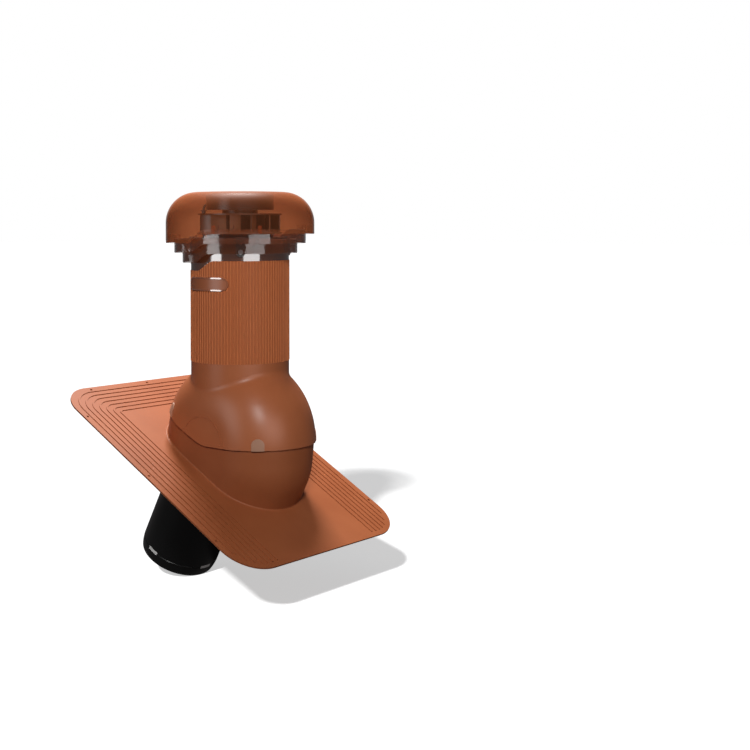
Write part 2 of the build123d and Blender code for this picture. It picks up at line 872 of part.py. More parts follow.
# The impeller, its hub, and the shaft that carries both
blade_start = impeller_radius - blade_inset - blade_length
turn = radians(blade_sweep)
blade_root = Vector(blade_start * cos(turn), blade_start * sin(turn))
blade_tip = Vector(impeller_radius - blade_inset - blade_thickness, 0)
with BuildSketch() as blade:
    with BuildLine():
        curve = RadiusArc(blade_root, blade_tip, blade_curve_radius)
    trace(line_width=blade_thickness)
with BuildPart() as impeller:
    ring(head_level(impeller_bottom), impeller_radius, impeller_eye_radius, impeller_plate)
    ring(
        head_level(impeller_top - impeller_plate), impeller_radius, shaft_radius, impeller_plate
    )
    with BuildSketch(head_level(impeller_bottom + impeller_plate)):
        with PolarLocations(0, blade_count):
            add(blade.sketch)
    extrude(amount=impeller_height - 2 * impeller_plate)
impeller.part.label = "impeller"
export_step(impeller.part, "parts/impeller.step")

with BuildPart() as fan_hub:
    ring(head_level(impeller_top), hub_radius, shaft_radius, hub_height)
fan_hub.part.label = "fan_hub"
export_step(fan_hub.part, "parts/fan_hub.step")

bearing_floor = motor_bottom + cover_thickness
lower_bearing_top = bearing_floor + bearing_height
upper_bearing_top = motor_top - motor_wall
with BuildPart() as fan_shaft:
    shaft_foot = impeller_top - impeller_plate - shaft_nose
    ring(head_level(shaft_foot), shaft_radius, 0, upper_bearing_top - shaft_end_gap - shaft_foot)
fan_shaft.part.label = "fan_shaft"
export_step(fan_shaft.part, "parts/fan_shaft.step")

# The motor: housing, end cover, stator, bearings and rotor
with BuildPart() as motor_housing:
    ring(head_level(motor_bottom), motor_radius, 0, motor_top - motor_bottom)
    fillet(motor_housing.edges().group_by(Axis.Z)[-1], motor_edge)
    ring(
        head_level(motor_bottom),
        motor_radius - motor_wall,
        0,
        motor_top - motor_wall - motor_bottom,
        mode=Mode.SUBTRACT,
    )
    screw_hole(radial_plane(180, gland_reach, gland_level), lead_radius + lead_play, motor_radius / 2)
    screw_circle(
        head_level(motor_top), cap_screw_circle, cap_screw_count, cap_screw_radius + screw_play, motor_wall
    )
motor_housing.part.label = "motor_housing"
export_step(motor_housing.part, "parts/motor_housing.step")

with BuildPart() as motor_cover:
    ring(
        head_level(motor_bottom),
        motor_radius - motor_wall,
        shaft_radius + cover_bore_play,
        cover_thickness,
    )
    ring(head_level(bearing_floor), bearing_radius + seat_wall, bearing_radius, bearing_height)
motor_cover.part.label = "motor_cover"
export_step(motor_cover.part, "parts/motor_cover.step")

for level, name in (
    (bearing_floor, "lower_bearing"),
    (upper_bearing_top - bearing_height, "upper_bearing"),
):
    with BuildPart() as bearing:
        ring(head_level(level), bearing_radius, shaft_radius + bearing_play, bearing_height)
    bearing.part.label = name
    export_step(bearing.part, f"parts/{name}.step")

with BuildPart() as bearing_seat:
    ring(
        head_level(upper_bearing_top - bearing_height),
        bearing_radius + seat_wall,
        bearing_radius,
        bearing_height,
    )
bearing_seat.part.label = "bearing_seat"
export_step(bearing_seat.part, "parts/bearing_seat.step")

stator_bottom = bearing_floor + stator_lift
with BuildPart() as stator:
    ring(head_level(stator_bottom), motor_radius - motor_wall, stator_bore, stator_height)
stator.part.label = "stator"
export_step(stator.part, "parts/stator.step")

with BuildPart() as motor_rotor:
    ring(head_level(stator_bottom), rotor_radius, shaft_radius, stator_height)
motor_rotor.part.label = "motor_rotor"
export_step(motor_rotor.part, "parts/motor_rotor.step")

# The rubber pad and the screws that hang the motor from the cap
with BuildPart() as motor_pad:
    ring(head_level(motor_top), pad_outer_radius, pad_inner_radius, cap_ceiling - motor_top)
    screw_circle(
        head_level(cap_ceiling),
        cap_screw_circle,
        cap_screw_count,
        cap_screw_radius + screw_play,
        cap_ceiling - motor_top,
    )
motor_pad.part.label = "motor_pad"
export_step(motor_pad.part, "parts/motor_pad.step")

with BuildPart() as cap_screws:
    for i in range(cap_screw_count):
        turn = radians((i + 0.5) * 360 / cap_screw_count)
        seat = head_level(cap_top - cap_screw_head_height).origin
        centre = seat + Vector(cap_screw_circle * cos(turn), cap_screw_circle * sin(turn))
        screw(
            Plane(origin=centre),
            cap_screw_head_radius,
            cap_screw_head_height,
            cap_screw_radius,
            cap_top - cap_screw_head_height - motor_top + motor_wall,
        )
cap_screws.part.label = "cap_screws"
export_step(cap_screws.part, "parts/cap_screws.step")

# The rain cap and the two oval louvre rings, each with webs that seat on the piece inside it
def radial_webs(oval, wall, rim, inner):
    """Upright webs from the middle of an oval wall to the oval piece inside it."""
    high, low = rim
    with BuildPart() as webs:
        for angle in spacer_angles:
            level = (high if cos(radians(angle)) > 0 else low) + spacer_from_rim
            with BuildSketch(head_level(level)) as strip:
                with Locations(Location((0, 0, 0), (0, 0, angle))):
                    Rectangle(2 * oval[0], spacer_thickness, align=(Align.MIN, Align.CENTER))
            extrude(strip.sketch, amount=spacer_height)
        with BuildSketch(head_level(low)) as span:
            Ellipse(oval[0] - wall / 2, oval[1] - wall / 2)
            Ellipse(*inner, mode=Mode.SUBTRACT)
        extrude(span.sketch, amount=high - low + spacer_from_rim + spacer_height, mode=Mode.INTERSECT)
    return webs.part


def louvre_ring(oval, rim, step, inner):
    """An oval band with a stepped rim and top, and its webs."""
    high, low = rim
    webs = radial_webs(oval, ring_wall, rim, inner)
    with BuildPart() as band:
        oval_band(*oval, ring_wall, low - ring_wall, high + ring_height)
        below_step(high + ring_height, low + ring_height, step, Mode.INTERSECT)
        below_step(high, low, step, Mode.SUBTRACT)
        add(webs)
    return band.part


lower_louvre_ring = louvre_ring(lower_ring, lower_ring_rim, lower_ring_step, (tube_radius, tube_radius))
lower_louvre_ring.label = "lower_louvre_ring"
export_step(lower_louvre_ring, "parts/lower_louvre_ring.step")

upper_louvre_ring = louvre_ring(upper_ring, upper_ring_rim, upper_ring_step, lower_ring)
upper_louvre_ring.label = "upper_louvre_ring"
export_step(upper_louvre_ring, "parts/upper_louvre_ring.step")

cap_webs = radial_webs(cap_oval, cap_wall, cap_rim, upper_ring)
with BuildPart() as cap_core:
    with BuildSketch(head_level(cap_rim[1] - cap_wall)):
        Ellipse(cap_oval[0] - cap_wall, cap_oval[1] - cap_wall)
    extrude(amount=cap_ceiling - cap_rim[1] + cap_wall)
    fillet(cap_core.edges().group_by(Axis.Z)[-1], cap_shoulder - cap_wall)
with BuildPart() as rain_cap:
    with BuildSketch(head_level(cap_rim[1] - cap_wall)):
        Ellipse(*cap_oval)
    extrude(amount=cap_top - cap_rim[1] + cap_wall)
    fillet(rain_cap.edges().group_by(Axis.Z)[-1], cap_shoulder)
    add(cap_core.part, mode=Mode.SUBTRACT)
    below_step(*cap_rim, cap_step, Mode.SUBTRACT)
    for radius, depth in (
        (cap_screw_radius + screw_play, cap_wall),
        (cap_screw_head_radius + screw_play, cap_screw_head_height),
    ):
        screw_circle(head_level(cap_top), cap_screw_circle, cap_screw_count, radius, depth)
    add(cap_webs)
rain_cap.part.label = "rain_cap"
export_step(rain_cap.part, "parts/rain_cap.step")

# The lead's gland on the motor, and its nut
with BuildPart() as motor_barrel:
    ring(head_level(motor_bottom), motor_radius, 0, motor_top - motor_bottom)
with BuildPart() as gland_body:
    with BuildSketch(radial_plane(180, gland_reach, gland_level)):
        Circle(gland_radius)
    extrude(amount=motor_radius / 2 - gland_reach)
    add(motor_barrel.part, mode=Mode.SUBTRACT)
    screw_hole(radial_plane(180, gland_reach, gland_level), lead_radius + lead_play, gland_reach)
gland_body.part.label = "gland_body"
export_step(gland_body.part, "parts/gland_body.step")

with BuildPart() as gland_nut:
    with BuildSketch(radial_plane(180, gland_reach, gland_level)):
        RegularPolygon(nut_across_corners / 2, 6)
    extrude(amount=nut_length - nut_nose)
    with BuildSketch(radial_plane(180, gland_reach + nut_length - nut_nose, gland_level)):
        Circle(gland_radius)
    extrude(amount=nut_nose)
    fillet(gland_nut.edges().group_by(Axis.X)[0], nut_nose * 0.6)
    screw_hole(
        radial_plane(180, gland_reach + nut_length, gland_level), lead_radius + lead_play, nut_length
    )
gland_nut.part.label = "gland_nut"
export_step(gland_nut.part, "parts/gland_nut.step")

# The fan lead, from the motor's wall down into its conduit
lead_start = motor_radius - motor_wall
lead_end = conduit_bottom + plug_height
with BuildPart() as fan_lead:
    with BuildLine(head_side) as lead_path:
        FilletPolyline(
            (-lead_start, gland_level),
            (-lead_out, gland_level),
            (-lead_out, lead_end),
            radius=lead_bend_radius,
        )
    with BuildSketch(Plane(origin=lead_path.line @ 0, z_dir=lead_path.line % 0)):
        Circle(lead_radius)
    sweep()
fan_lead.part.label = "fan_lead"
export_step(fan_lead.part, "parts/fan_lead.step")
print("fan lead bend radius", lead_bend_radius)

with BuildPart() as lead_grommet:
    with BuildSketch(head_side):
        with BuildLine():
            flange = grommet_flange_radius
            waist = grommet_waist_radius
            Polyline(
                (lead_radius, 0),
                (flange, 0),
                (flange, grommet_flange_thickness),
                (waist, grommet_flange_thickness),
                (waist, grommet_height - grommet_flange_thickness),
                (flange, grommet_height - grommet_flange_thickness),
                (flange, grommet_height),
                (lead_radius, grommet_height),
                close=True,
            )
        make_face()
    revolve(axis=Axis(pivot, (0, 0, 1)))
lead_grommet.part.label = "lead_grommet"
lead_grommet.part.position = (-lead_out, 0, grommet_level)
export_step(lead_grommet.part, "parts/lead_grommet.step")

# The conduit down the collar, its plug, clip and screws
with BuildPart() as conduit:
    with BuildSketch(head_level(conduit_bottom)):
        with Locations((-lead_out, 0)):
            Circle(conduit_radius)
            Circle(conduit_radius - conduit_wall, mode=Mode.SUBTRACT)
    extrude(amount=conduit_top - conduit_bottom)
conduit.part.label = "conduit"
export_step(conduit.part, "parts/conduit.step")

with BuildPart() as conduit_plug:
    with BuildSketch(head_level(conduit_bottom)):
        with Locations((-lead_out, 0)):
            Circle(conduit_radius - conduit_wall)
    extrude(amount=plug_height)
conduit_plug.part.label = "conduit_plug"
export_step(conduit_plug.part, "parts/conduit_plug.step")

with BuildPart() as conduit_clip:
    with BuildSketch(head_level(clip_level - clip_height / 2)):
        Circle(tube_radius + clip_wall)
        sector = far * sin(radians(clip_half_angle))
        with BuildLine():
            reach = far * cos(radians(clip_half_angle))
            Polyline((0, 0), (-reach, sector), (-reach, -sector), close=True)
        make_face(mode=Mode.INTERSECT)
        with Locations((-lead_out, 0)):
            Circle(conduit_radius + clip_wall)
            Circle(conduit_radius, mode=Mode.SUBTRACT)
        Circle(tube_radius + seat_gap, mode=Mode.SUBTRACT)
    extrude(amount=clip_height)
    for side in (-1, 1):
        screw_hole(
            radial_plane(180 + side * clip_screw_angle, tube_radius + clip_wall, clip_level),
            clip_screw_radius + screw_play,
            2 * clip_wall,
        )
conduit_clip.part.label = "conduit_clip"
export_step(conduit_clip.part, "parts/conduit_clip.step")

with BuildPart() as clip_screws:
    for side in (-1, 1):
        screw(
            radial_plane(180 + side * clip_screw_angle, tube_radius + clip_wall, clip_level),
            clip_screw_head_radius,
            clip_screw_head_height,
            clip_screw_radius,
            clip_wall + clip_screw_bite,
        )
clip_screws.part.label = "clip_screws"
export_step(clip_screws.part, "parts/clip_screws.step")
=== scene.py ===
# %% [markdown]
# # A powered roof vent, dressed in Blender
#
# The vent stands on a sloping roof. A ribbed plate carries a half ball, a hood swivels on that ball, and a
# fluted tube rises from the hood to an oval rain cap over a fan. The measured model is loaded first and
# stays as it is. This script gives it finishes, makes the pieces whose surfaces need more than plain
# solids, and lights it like a catalogue picture.

import json
from math import cos, pi, radians, sin, sqrt

import bpy
from mathutils import Matrix, Vector


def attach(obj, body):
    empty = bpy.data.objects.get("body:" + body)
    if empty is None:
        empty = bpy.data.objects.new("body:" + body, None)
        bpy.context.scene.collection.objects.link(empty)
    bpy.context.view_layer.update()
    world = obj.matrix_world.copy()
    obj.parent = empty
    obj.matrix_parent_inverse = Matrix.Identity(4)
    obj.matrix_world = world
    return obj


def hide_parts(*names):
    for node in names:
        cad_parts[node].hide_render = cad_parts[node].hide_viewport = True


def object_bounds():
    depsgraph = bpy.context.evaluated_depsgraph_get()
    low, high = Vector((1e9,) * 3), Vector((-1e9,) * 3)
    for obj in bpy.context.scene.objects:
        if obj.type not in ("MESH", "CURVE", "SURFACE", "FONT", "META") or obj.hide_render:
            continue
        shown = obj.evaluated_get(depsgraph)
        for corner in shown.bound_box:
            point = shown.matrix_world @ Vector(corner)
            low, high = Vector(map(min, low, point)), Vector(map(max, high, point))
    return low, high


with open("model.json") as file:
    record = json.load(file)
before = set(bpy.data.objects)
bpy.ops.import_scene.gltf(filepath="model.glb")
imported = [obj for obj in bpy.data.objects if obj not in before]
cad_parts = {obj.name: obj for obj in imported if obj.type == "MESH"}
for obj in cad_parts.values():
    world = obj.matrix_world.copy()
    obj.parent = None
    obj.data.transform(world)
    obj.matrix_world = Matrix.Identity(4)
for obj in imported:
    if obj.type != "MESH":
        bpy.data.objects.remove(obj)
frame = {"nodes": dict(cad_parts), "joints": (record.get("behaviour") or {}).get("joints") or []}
cad_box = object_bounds()
nodes = frame["nodes"]
pivot_level = frame["joints"][0]["pos_m"][2]
mm = 0.001
print("pieces loaded:", len(nodes), "pivot level:", round(pivot_level, 5))

# %% [markdown]
# ## The camera
#
# A product picture is taken from far enough away that upright lines stay upright. The camera is nearly
# level, and the picture is moved up or down by shifting the lens instead of tilting it, which keeps the
# tube's sides parallel. The direction and distance come from lining up the plate's corners with the
# picture.

# %% Camera
camera_from_pivot = Vector((1.699, -1.729, 0.408))
looking = Vector((-0.6228, 0.7824, 0.0)).normalized()
looking_down = radians(0.78)
focal_length = 61.83
sensor_width = 36.0
lens_shift = -0.184
farthest_seen = 60.0


def link(thing, name):
    """Puts new camera, lamp or mesh data into the scene."""
    made = bpy.data.objects.new(name, thing)
    bpy.context.scene.collection.objects.link(made)
    return made


def aim_along(thing, direction):
    """Turns a camera or lamp to face along a direction."""
    thing.rotation_mode = "QUATERNION"
    thing.rotation_quaternion = direction.to_track_quat("-Z", "Y")


lens = bpy.data.cameras.new("picture_lens")
lens.lens = focal_length
lens.sensor_width = sensor_width
lens.shift_y = lens_shift
lens.clip_end = farthest_seen
camera = link(lens, "picture_camera")
camera.location = camera_from_pivot + Vector((0, 0, pivot_level))
aim_along(camera, looking * cos(looking_down) - Vector((0, 0, sin(looking_down))))
bpy.context.scene.camera = camera
print("camera at", [round(v, 3) for v in camera.location])

# %% [markdown]
# ## Floor and light
#
# A catalogue background is white with a soft grey shadow. The floor is a wide pale sheet with a little glow
# of its own, so that it reaches white where nothing shades it and still shows the shadow. Both the floor
# and the world are white to the camera only: to every other ray they are dim, so the object isn't flooded
# with light from below and keeps its dark sides.

# %% Floor
floor_level = cad_box[0].z
floor_reach = 30.0
paper_glow_power = 0.52
paper_in_bounces = (0.16, 0.15, 0.15, 1)
paper_seen = (0.94, 0.94, 0.94, 1)
black = (0, 0, 0, 1)
white = (1, 1, 1, 1)


def colour_mix(tree, first=None, second=None):
    """A node that mixes two colours. One that isn't given is linked later."""
    made = tree.nodes.new("ShaderNodeMix")
    made.data_type = "RGBA"
    for side, colour in (("A", first), ("B", second)):
        if colour is not None:
            made.inputs[side].default_value = colour
    return made


floor_mesh = bpy.data.meshes.new("floor")
floor_mesh.from_pydata(
    [(x * floor_reach, y * floor_reach, floor_level) for x, y in ((-1, -1), (1, -1), (1, 1), (-1, 1))],
    [],
    [(0, 1, 2, 3)],
)
floor = link(floor_mesh, "floor")

floor_paper = bpy.data.materials.new("floor_paper")
floor_paper.use_nodes = True
paper_tree = floor_paper.node_tree
paper = paper_tree.nodes["Principled BSDF"]
paper.inputs["Roughness"].default_value = 1.0
paper.inputs["Specular IOR Level"].default_value = 0.0
paper.inputs["Emission Strength"].default_value = paper_glow_power
paper_path = paper_tree.nodes.new("ShaderNodeLightPath")
paper_colour = colour_mix(paper_tree, paper_in_bounces, paper_seen)
paper_glow = colour_mix(paper_tree, black, white)
for mix, socket in ((paper_colour, "Base Color"), (paper_glow, "Emission Color")):
    paper_tree.links.new(paper_path.outputs["Is Camera Ray"], mix.inputs["Factor"])
    paper_tree.links.new(mix.outputs["Result"], paper.inputs[socket])
floor_mesh.materials.append(floor_paper)
print("floor at", round(floor_level, 4))

# %% [markdown]
# The world is the backdrop beyond the floor. One background would both show and give light, so two are made
# and the kind of ray picks one: a white one for the camera, and for the rest a dim, slightly blue one that
# fills the dark sides a little.

# %% World
sky_seen_power = 1.0
sky_fill_tone = (0.95, 0.97, 1.0, 1)
sky_fill_power = 0.1

sky = bpy.data.worlds.new("studio")
sky.use_nodes = True
bpy.context.scene.world = sky
sky_nodes = sky.node_tree.nodes
sky_links = sky.node_tree.links
sky_nodes.clear()


def backdrop(colour, power):
    """A background of one colour."""
    made = sky_nodes.new("ShaderNodeBackground")
    made.inputs["Color"].default_value = colour
    made.inputs["Strength"].default_value = power
    return made


sky_out = sky_nodes.new("ShaderNodeOutputWorld")
sky_mix = sky_nodes.new("ShaderNodeMixShader")
sky_path = sky_nodes.new("ShaderNodeLightPath")
seen = backdrop(white, sky_seen_power)
soft = backdrop(sky_fill_tone, sky_fill_power)
sky_links.new(sky_path.outputs["Is Camera Ray"], sky_mix.inputs["Fac"])
sky_links.new(soft.outputs[0], sky_mix.inputs[1])
sky_links.new(seen.outputs[0], sky_mix.inputs[2])
sky_links.new(sky_mix.outputs[0], sky_out.inputs["Surface"])
bpy.context.scene.view_settings.view_transform = "Standard"
print("world ready")

# %% [markdown]
# ## Lamps
#
# Two wide soft boxes stand left and right of the camera. They leave matt surfaces alone and only show as
# two white bands on the glossy collar. A small box above the camera lights the front and leaves the sides
# dark, and one behind the vent skims the plate. None of the boxes lights the floor. The sun lights the
# floor alone: it makes the paper white and throws the shadow back and to the right.

# %% Lamps
sun_power = 3.4
sun_width = radians(3)
all_but_paper = bpy.data.collections.new("all_but_paper")
all_but_paper.objects.link(floor)
all_but_paper.collection_objects[0].light_linking.link_state = "EXCLUDE"
only_paper = bpy.data.collections.new("only_paper")
only_paper.objects.link(floor)


def around_camera(angle, distance, height):
    """A place round the object, turned from the camera's side to the picture's right, in degrees."""
    towards = Vector((camera_from_pivot.x, camera_from_pivot.y, 0)).normalized()
    turned = Matrix.Rotation(radians(angle), 3, "Z") @ towards
    return turned * distance + Vector((0, 0, height))


def soft_box(name, angle, distance, height, width, tall, power, aim_height=0.25, lights_matt=True):
    """A soft box that faces the vent. One that leaves matt surfaces alone only shows as a reflection."""
    box = bpy.data.lights.new(name, "AREA")
    box.shape = "RECTANGLE"
    box.size = width
    box.size_y = tall
    box.energy = power
    made = link(box, name)
    made.location = around_camera(angle, distance, height)
    aim_along(made, Vector((0, 0, aim_height)) - made.location)
    made.light_linking.receiver_collection = all_but_paper
    made.visible_diffuse = lights_matt


soft_box("front_box", 0, 2.6, 1.75, 0.5, 0.5, 52)
soft_box("left_box", -57, 2.6, 0.75, 1.25, 1.5, 26, lights_matt=False)
soft_box("right_box", 26, 2.8, 0.75, 2.0, 1.5, 36, lights_matt=False)
soft_box("back_box", 186, 0.9, 2.0, 0.6, 0.6, 85, aim_height=0.1)

sun = bpy.data.lights.new("floor_sun", "SUN")
sun.energy = sun_power
sun.angle = sun_width
sun_lamp = link(sun, "floor_sun")
aim_along(sun_lamp, -around_camera(-19, 1.06, 0.73))
sun_lamp.light_linking.receiver_collection = only_paper

# %% [markdown]
# ## Shared surface effects
#
# Moulded plastic isn't perfectly even: it has a fine grain from the mould, and broad, faint cloudiness in
# its colour and shine. Both come from noise that is fixed to the piece. They are made once, as node groups,
# and each finish sets its own amounts. Two helpers make a group and put one into a material.


# %% Node group helpers
def make_group(name, ins, outs):
    """A node group with named inputs and outputs. ins is a list of (name, kind, value)."""
    group = bpy.data.node_groups.new(name, "ShaderNodeTree")
    for label, kind, value in ins:
        socket = group.interface.new_socket(label, in_out="INPUT", socket_type=kind)
        socket.default_value = value
    for label, kind in outs:
        group.interface.new_socket(label, in_out="OUTPUT", socket_type=kind)
    return group, group.nodes.new("NodeGroupInput"), group.nodes.new("NodeGroupOutput")


def use_group(tree, group, values):
    """A group's node in a material, with the values of its inputs by name."""
    made = tree.nodes.new("ShaderNodeGroup")
    made.node_tree = group
    for label, value in values.items():
        made.inputs[label].default_value = value
    return made


print("helpers:", make_group.__name__, use_group.__name__)

# %% [markdown]
# The first group gives the grain and the clouds. An image could do it too, but noise needs no file and has
# no seams. Both noises take the piece's own coordinates, so the grain moves with a piece that moves.

# %% Moulded grain
grain, grain_in, grain_out = make_group(
    "moulded_grain",
    [("Grain size", "NodeSocketFloat", 900.0), ("Cloud size", "NodeSocketFloat", 9.0)],
    [("Height", "NodeSocketFloat"), ("Cloud", "NodeSocketFloat")],
)
grain_place = grain.nodes.new("ShaderNodeTexCoord")
for size, detail, result in (("Grain size", 2.0, "Height"), ("Cloud size", 3.0, "Cloud")):
    noise = grain.nodes.new("ShaderNodeTexNoise")
    noise.inputs["Detail"].default_value = detail
    grain.links.new(grain_place.outputs["Object"], noise.inputs["Vector"])
    grain.links.new(grain_in.outputs[size], noise.inputs["Scale"])
    grain.links.new(noise.outputs["Fac"], grain_out.inputs[result])
print("group:", grain.name)

# %% [markdown]
# The second group turns the clouds into a colour between a dark and a light one, and into a roughness
# between a least and a most. Noise stays near its middle, so the middle of its range is stretched first.
# One group for all finishes keeps them alike, as pieces from one batch of plastic are.

# %% Cloudy colour
least_cloud, most_cloud = 0.3, 0.7
tint, tint_in, tint_out = make_group(
    "cloudy_colour",
    [
        ("Cloud", "NodeSocketFloat", 0.5),
        ("Dark", "NodeSocketColor", (0.3, 0.1, 0.05, 1)),
        ("Light", "NodeSocketColor", (0.4, 0.15, 0.07, 1)),
        ("Least rough", "NodeSocketFloat", 0.35),
        ("Most rough", "NodeSocketFloat", 0.45),
    ],
    [("Color", "NodeSocketColor"), ("Roughness", "NodeSocketFloat")],
)
spread = tint.nodes.new("ShaderNodeMapRange")
spread.inputs["From Min"].default_value = least_cloud
spread.inputs["From Max"].default_value = most_cloud
blend_colour = colour_mix(tint)
blend_rough = tint.nodes.new("ShaderNodeMapRange")
tint.links.new(tint_in.outputs["Cloud"], spread.inputs["Value"])
tint.links.new(spread.outputs["Result"], blend_colour.inputs["Factor"])
tint.links.new(tint_in.outputs["Dark"], blend_colour.inputs["A"])
tint.links.new(tint_in.outputs["Light"], blend_colour.inputs["B"])
tint.links.new(spread.outputs["Result"], blend_rough.inputs["Value"])
tint.links.new(tint_in.outputs["Least rough"], blend_rough.inputs["To Min"])
tint.links.new(tint_in.outputs["Most rough"], blend_rough.inputs["To Max"])
tint.links.new(blend_colour.outputs["Result"], tint_out.inputs["Color"])
tint.links.new(blend_rough.outputs["Result"], tint_out.inputs["Roughness"])
print("group:", tint.name)

# %% [markdown]
# The tube's grooves and the badges' borders differ from what is beside them only by how far they stand from
# the tube's axis. The third group makes a mask from that distance: the height is set to nothing, and the
# length of what is left is compared with two distances. That is simpler than picking faces by hand.

# %% Distance from the tube's axis
crest, crest_in, crest_out = make_group(
    "crest_mask",
    [("From", "NodeSocketFloat", 0.091), ("To", "NodeSocketFloat", 0.092)],
    [("Mask", "NodeSocketFloat")],
)
crest_place = crest.nodes.new("ShaderNodeTexCoord")
crest_flat = crest.nodes.new("ShaderNodeVectorMath")
crest_flat.operation = "MULTIPLY"
crest_flat.inputs[1].default_value = (1, 1, 0)
crest_length = crest.nodes.new("ShaderNodeVectorMath")
crest_length.operation = "LENGTH"
crest_range = crest.nodes.new("ShaderNodeMapRange")
crest.links.new(crest_place.outputs["Object"], crest_flat.inputs[0])
crest.links.new(crest_flat.outputs["Vector"], crest_length.inputs[0])
crest.links.new(crest_length.outputs["Value"], crest_range.inputs["Value"])
crest.links.new(crest_in.outputs["From"], crest_range.inputs["From Min"])
crest.links.new(crest_in.outputs["To"], crest_range.inputs["From Max"])
crest.links.new(crest_range.outputs["Result"], crest_out.inputs["Mask"])
print("group:", crest.name)

# %% [markdown]
# A finish puts the first two groups into a material. Colours are given as they look on a screen, which is
# how they are judged against a picture, and are turned into the amounts of light that shaders use. The
# clear coat bends light more than varnish does, so that the lamps stand out on dark plastic.

# %% Finish maker
coat_bending, coat_rough = 2.3, 0.1


def from_screen(*colour):
    """A colour as it looks on a screen, 0 to 255, turned into the amounts of light that shaders use."""
    shares = [v / 255 for v in colour]
    return tuple(v / 12.92 if v <= 0.04045 else ((v + 0.055) / 1.055) ** 2.4 for v in shares) + (1.0,)


def finish(name, dark, light, rough, grain_depth=0.02, grain_size=900.0, metal=0.0, coat=0.0, gloss=0.5):
    """A cloudy, grained finish. rough is the least and the most roughness."""
    made = bpy.data.materials.new(name)
    made.use_nodes = True
    tree = made.node_tree
    shader = tree.nodes["Principled BSDF"]
    surface = use_group(tree, grain, {"Grain size": grain_size})
    tones = {"Dark": from_screen(*dark), "Light": from_screen(*light)}
    colour = use_group(tree, tint, tones | {"Least rough": rough[0], "Most rough": rough[1]})
    bump = tree.nodes.new("ShaderNodeBump")
    bump.inputs["Strength"].default_value = grain_depth
    bump.inputs["Distance"].default_value = mm
    tree.links.new(surface.outputs["Cloud"], colour.inputs["Cloud"])
    tree.links.new(surface.outputs["Height"], bump.inputs["Height"])
    tree.links.new(colour.outputs["Color"], shader.inputs["Base Color"])
    tree.links.new(colour.outputs["Roughness"], shader.inputs["Roughness"])
    tree.links.new(bump.outputs["Normal"], shader.inputs["Normal"])
    shader.inputs["Metallic"].default_value = metal
    shader.inputs["Coat Weight"].default_value = coat
    shader.inputs["Coat IOR"].default_value = coat_bending
    shader.inputs["Coat Roughness"].default_value = coat_rough
    shader.inputs["Specular IOR Level"].default_value = gloss
    return made


print("every coat bends light by", coat_bending)

# %% [markdown]
# ## Finishes
#
# Almost everything outside is one terracotta plastic. The plate and its ball are satin from a textured
# mould, the hood and the badges are smoother, the duct is near-black, and the fan unit is dark. The tube's
# share of the plastic is painted paler than the hood's, as painted light that makes the tube read brighter.

# %% Finishes
clay_dark = (156, 87, 52)
clay_light = (166, 95, 58)
plate_clay = finish("plate_clay", (148, 81, 47), (158, 89, 53), (0.46, 0.54), 0.06, gloss=0.15)
hood_clay = finish("hood_clay", (168, 95, 58), (178, 103, 64), (0.34, 0.4), 0.03, gloss=0.25)
# painted light: the tube's terracotta is painted paler than the hood's, so the tube reads brighter
tube_clay = finish("tube_clay", (202, 119, 74), (212, 127, 81), (0.4, 0.46), 0.03, gloss=0.04)
badge_clay = finish("badge_clay", clay_dark, clay_light, (0.3, 0.36), 0.01, gloss=0.4)
duct_black = finish("duct_black", (22, 22, 23), (28, 28, 29), (0.3, 0.38), 0.04, gloss=0.22)
latch_white = finish("latch_white", (244, 244, 242), (250, 250, 248), (0.4, 0.5))
seal_rubber = finish("seal_rubber", (22, 22, 22), (30, 30, 30), (0.6, 0.7), 0.1)
pipe_grey = finish("pipe_grey", (120, 122, 124), (130, 132, 134), (0.4, 0.5))
foam_grey = finish("foam_grey", (70, 70, 72), (90, 90, 92), (0.85, 0.95), 0.5, 300.0)
fan_brown = finish("fan_brown", (34, 21, 15), (42, 27, 19), (0.24, 0.3), 0.03, coat=0.6)
motor_brown = finish("motor_brown", (20, 13, 10), (28, 18, 14), (0.24, 0.3), 0.02, coat=0.4)
steel = finish("steel", (150, 150, 152), (172, 172, 174), (0.25, 0.32), metal=1.0)
core_iron = finish("core_iron", (70, 70, 72), (84, 84, 86), (0.4, 0.5), metal=0.8)
lead_black = finish("lead_black", (46, 40, 38), (58, 50, 46), (0.45, 0.55), 0.04)
print("finishes:", len(bpy.data.materials))

# %% [markdown]
# The tube is one piece, fluted below and polished above a line that steps down at the back. Its finish
# finds that line from the height and the place along the slope, and turns darker and glossy above it. Below
# it, the grooves between the flutes are painted a little darker than the crests, as painted shade in the
# hollows, which the finish tells by the distance from the axis.

# %% Polished collar
flute_line_low = pivot_level + 0.314
flute_line_high = pivot_level + 0.3327
line_step_from, line_step_to = -0.024, 0.022
collar_rough = 0.1
collar_tone = from_screen(96, 52, 31)
# painted shade: the grooves between the flutes are painted darker than the crests
painted_groove_shade = from_screen(178, 101, 62)
tube_tree = tube_clay.node_tree
tube_place = tube_tree.nodes.new("ShaderNodeTexCoord")
tube_parts = tube_tree.nodes.new("ShaderNodeSeparateXYZ")
flute_line = tube_tree.nodes.new("ShaderNodeMapRange")
flute_line.interpolation_type = "SMOOTHSTEP"
flute_line.inputs["From Min"].default_value = line_step_from
flute_line.inputs["From Max"].default_value = line_step_to
flute_line.inputs["To Min"].default_value = flute_line_low
flute_line.inputs["To Max"].default_value = flute_line_high
above_line = tube_tree.nodes.new("ShaderNodeMath")
above_line.operation = "GREATER_THAN"
pick_rough = tube_tree.nodes.new("ShaderNodeMapRange")
pick_rough.inputs["To Max"].default_value = collar_rough
pick_tone = colour_mix(tube_tree, second=collar_tone)
groove = use_group(tube_tree, crest, {"From": 0.0912, "To": 0.0921})
painted_groove_mix = colour_mix(tube_tree, first=painted_groove_shade)
